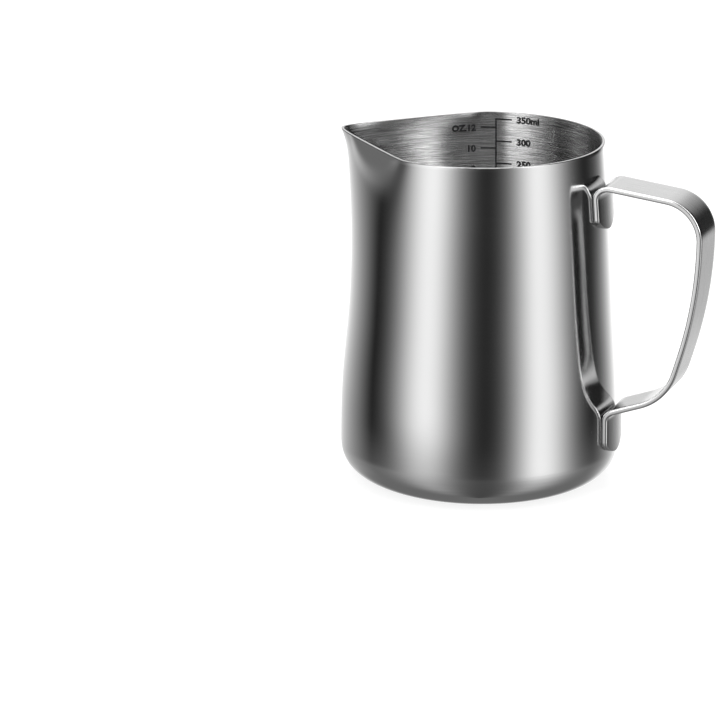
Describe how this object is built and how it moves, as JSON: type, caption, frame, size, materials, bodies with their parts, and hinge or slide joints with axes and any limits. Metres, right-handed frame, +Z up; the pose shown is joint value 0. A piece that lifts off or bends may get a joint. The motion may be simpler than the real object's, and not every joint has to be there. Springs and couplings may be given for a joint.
{
  "type": "milk frothing pitcher",
  "caption": "Small steel pitcher with a pressed V spout, a welded strip handle and a measuring scale printed inside, for steaming and pouring milk.",
  "frame": {"origin": "centre of the flat base, on the cup's axis, where it stands on the table", "axes": "+Z up along the cup's axis, +X towards the handle, -X towards the spout"},
  "size_m": [0.103, 0.075, 0.0929],
  "materials": {
    "cup_steel": "satin polished outside, finely brushed round the axis inside",
    "handle_steel": "finely brushed along the strip",
    "weld_steel": "fused metal, out of sight",
    "scale_ink": "matte black print"
  },
  "bodies": {
    "root": {"cup_body": "cup_steel", "handle_strip": "handle_steel", "weld_upper_1": "weld_steel", "weld_upper_2": "weld_steel", "weld_lower_1": "weld_steel", "weld_lower_2": "weld_steel", "scale_lines": "scale_ink"}
  },
  "joints": []
}
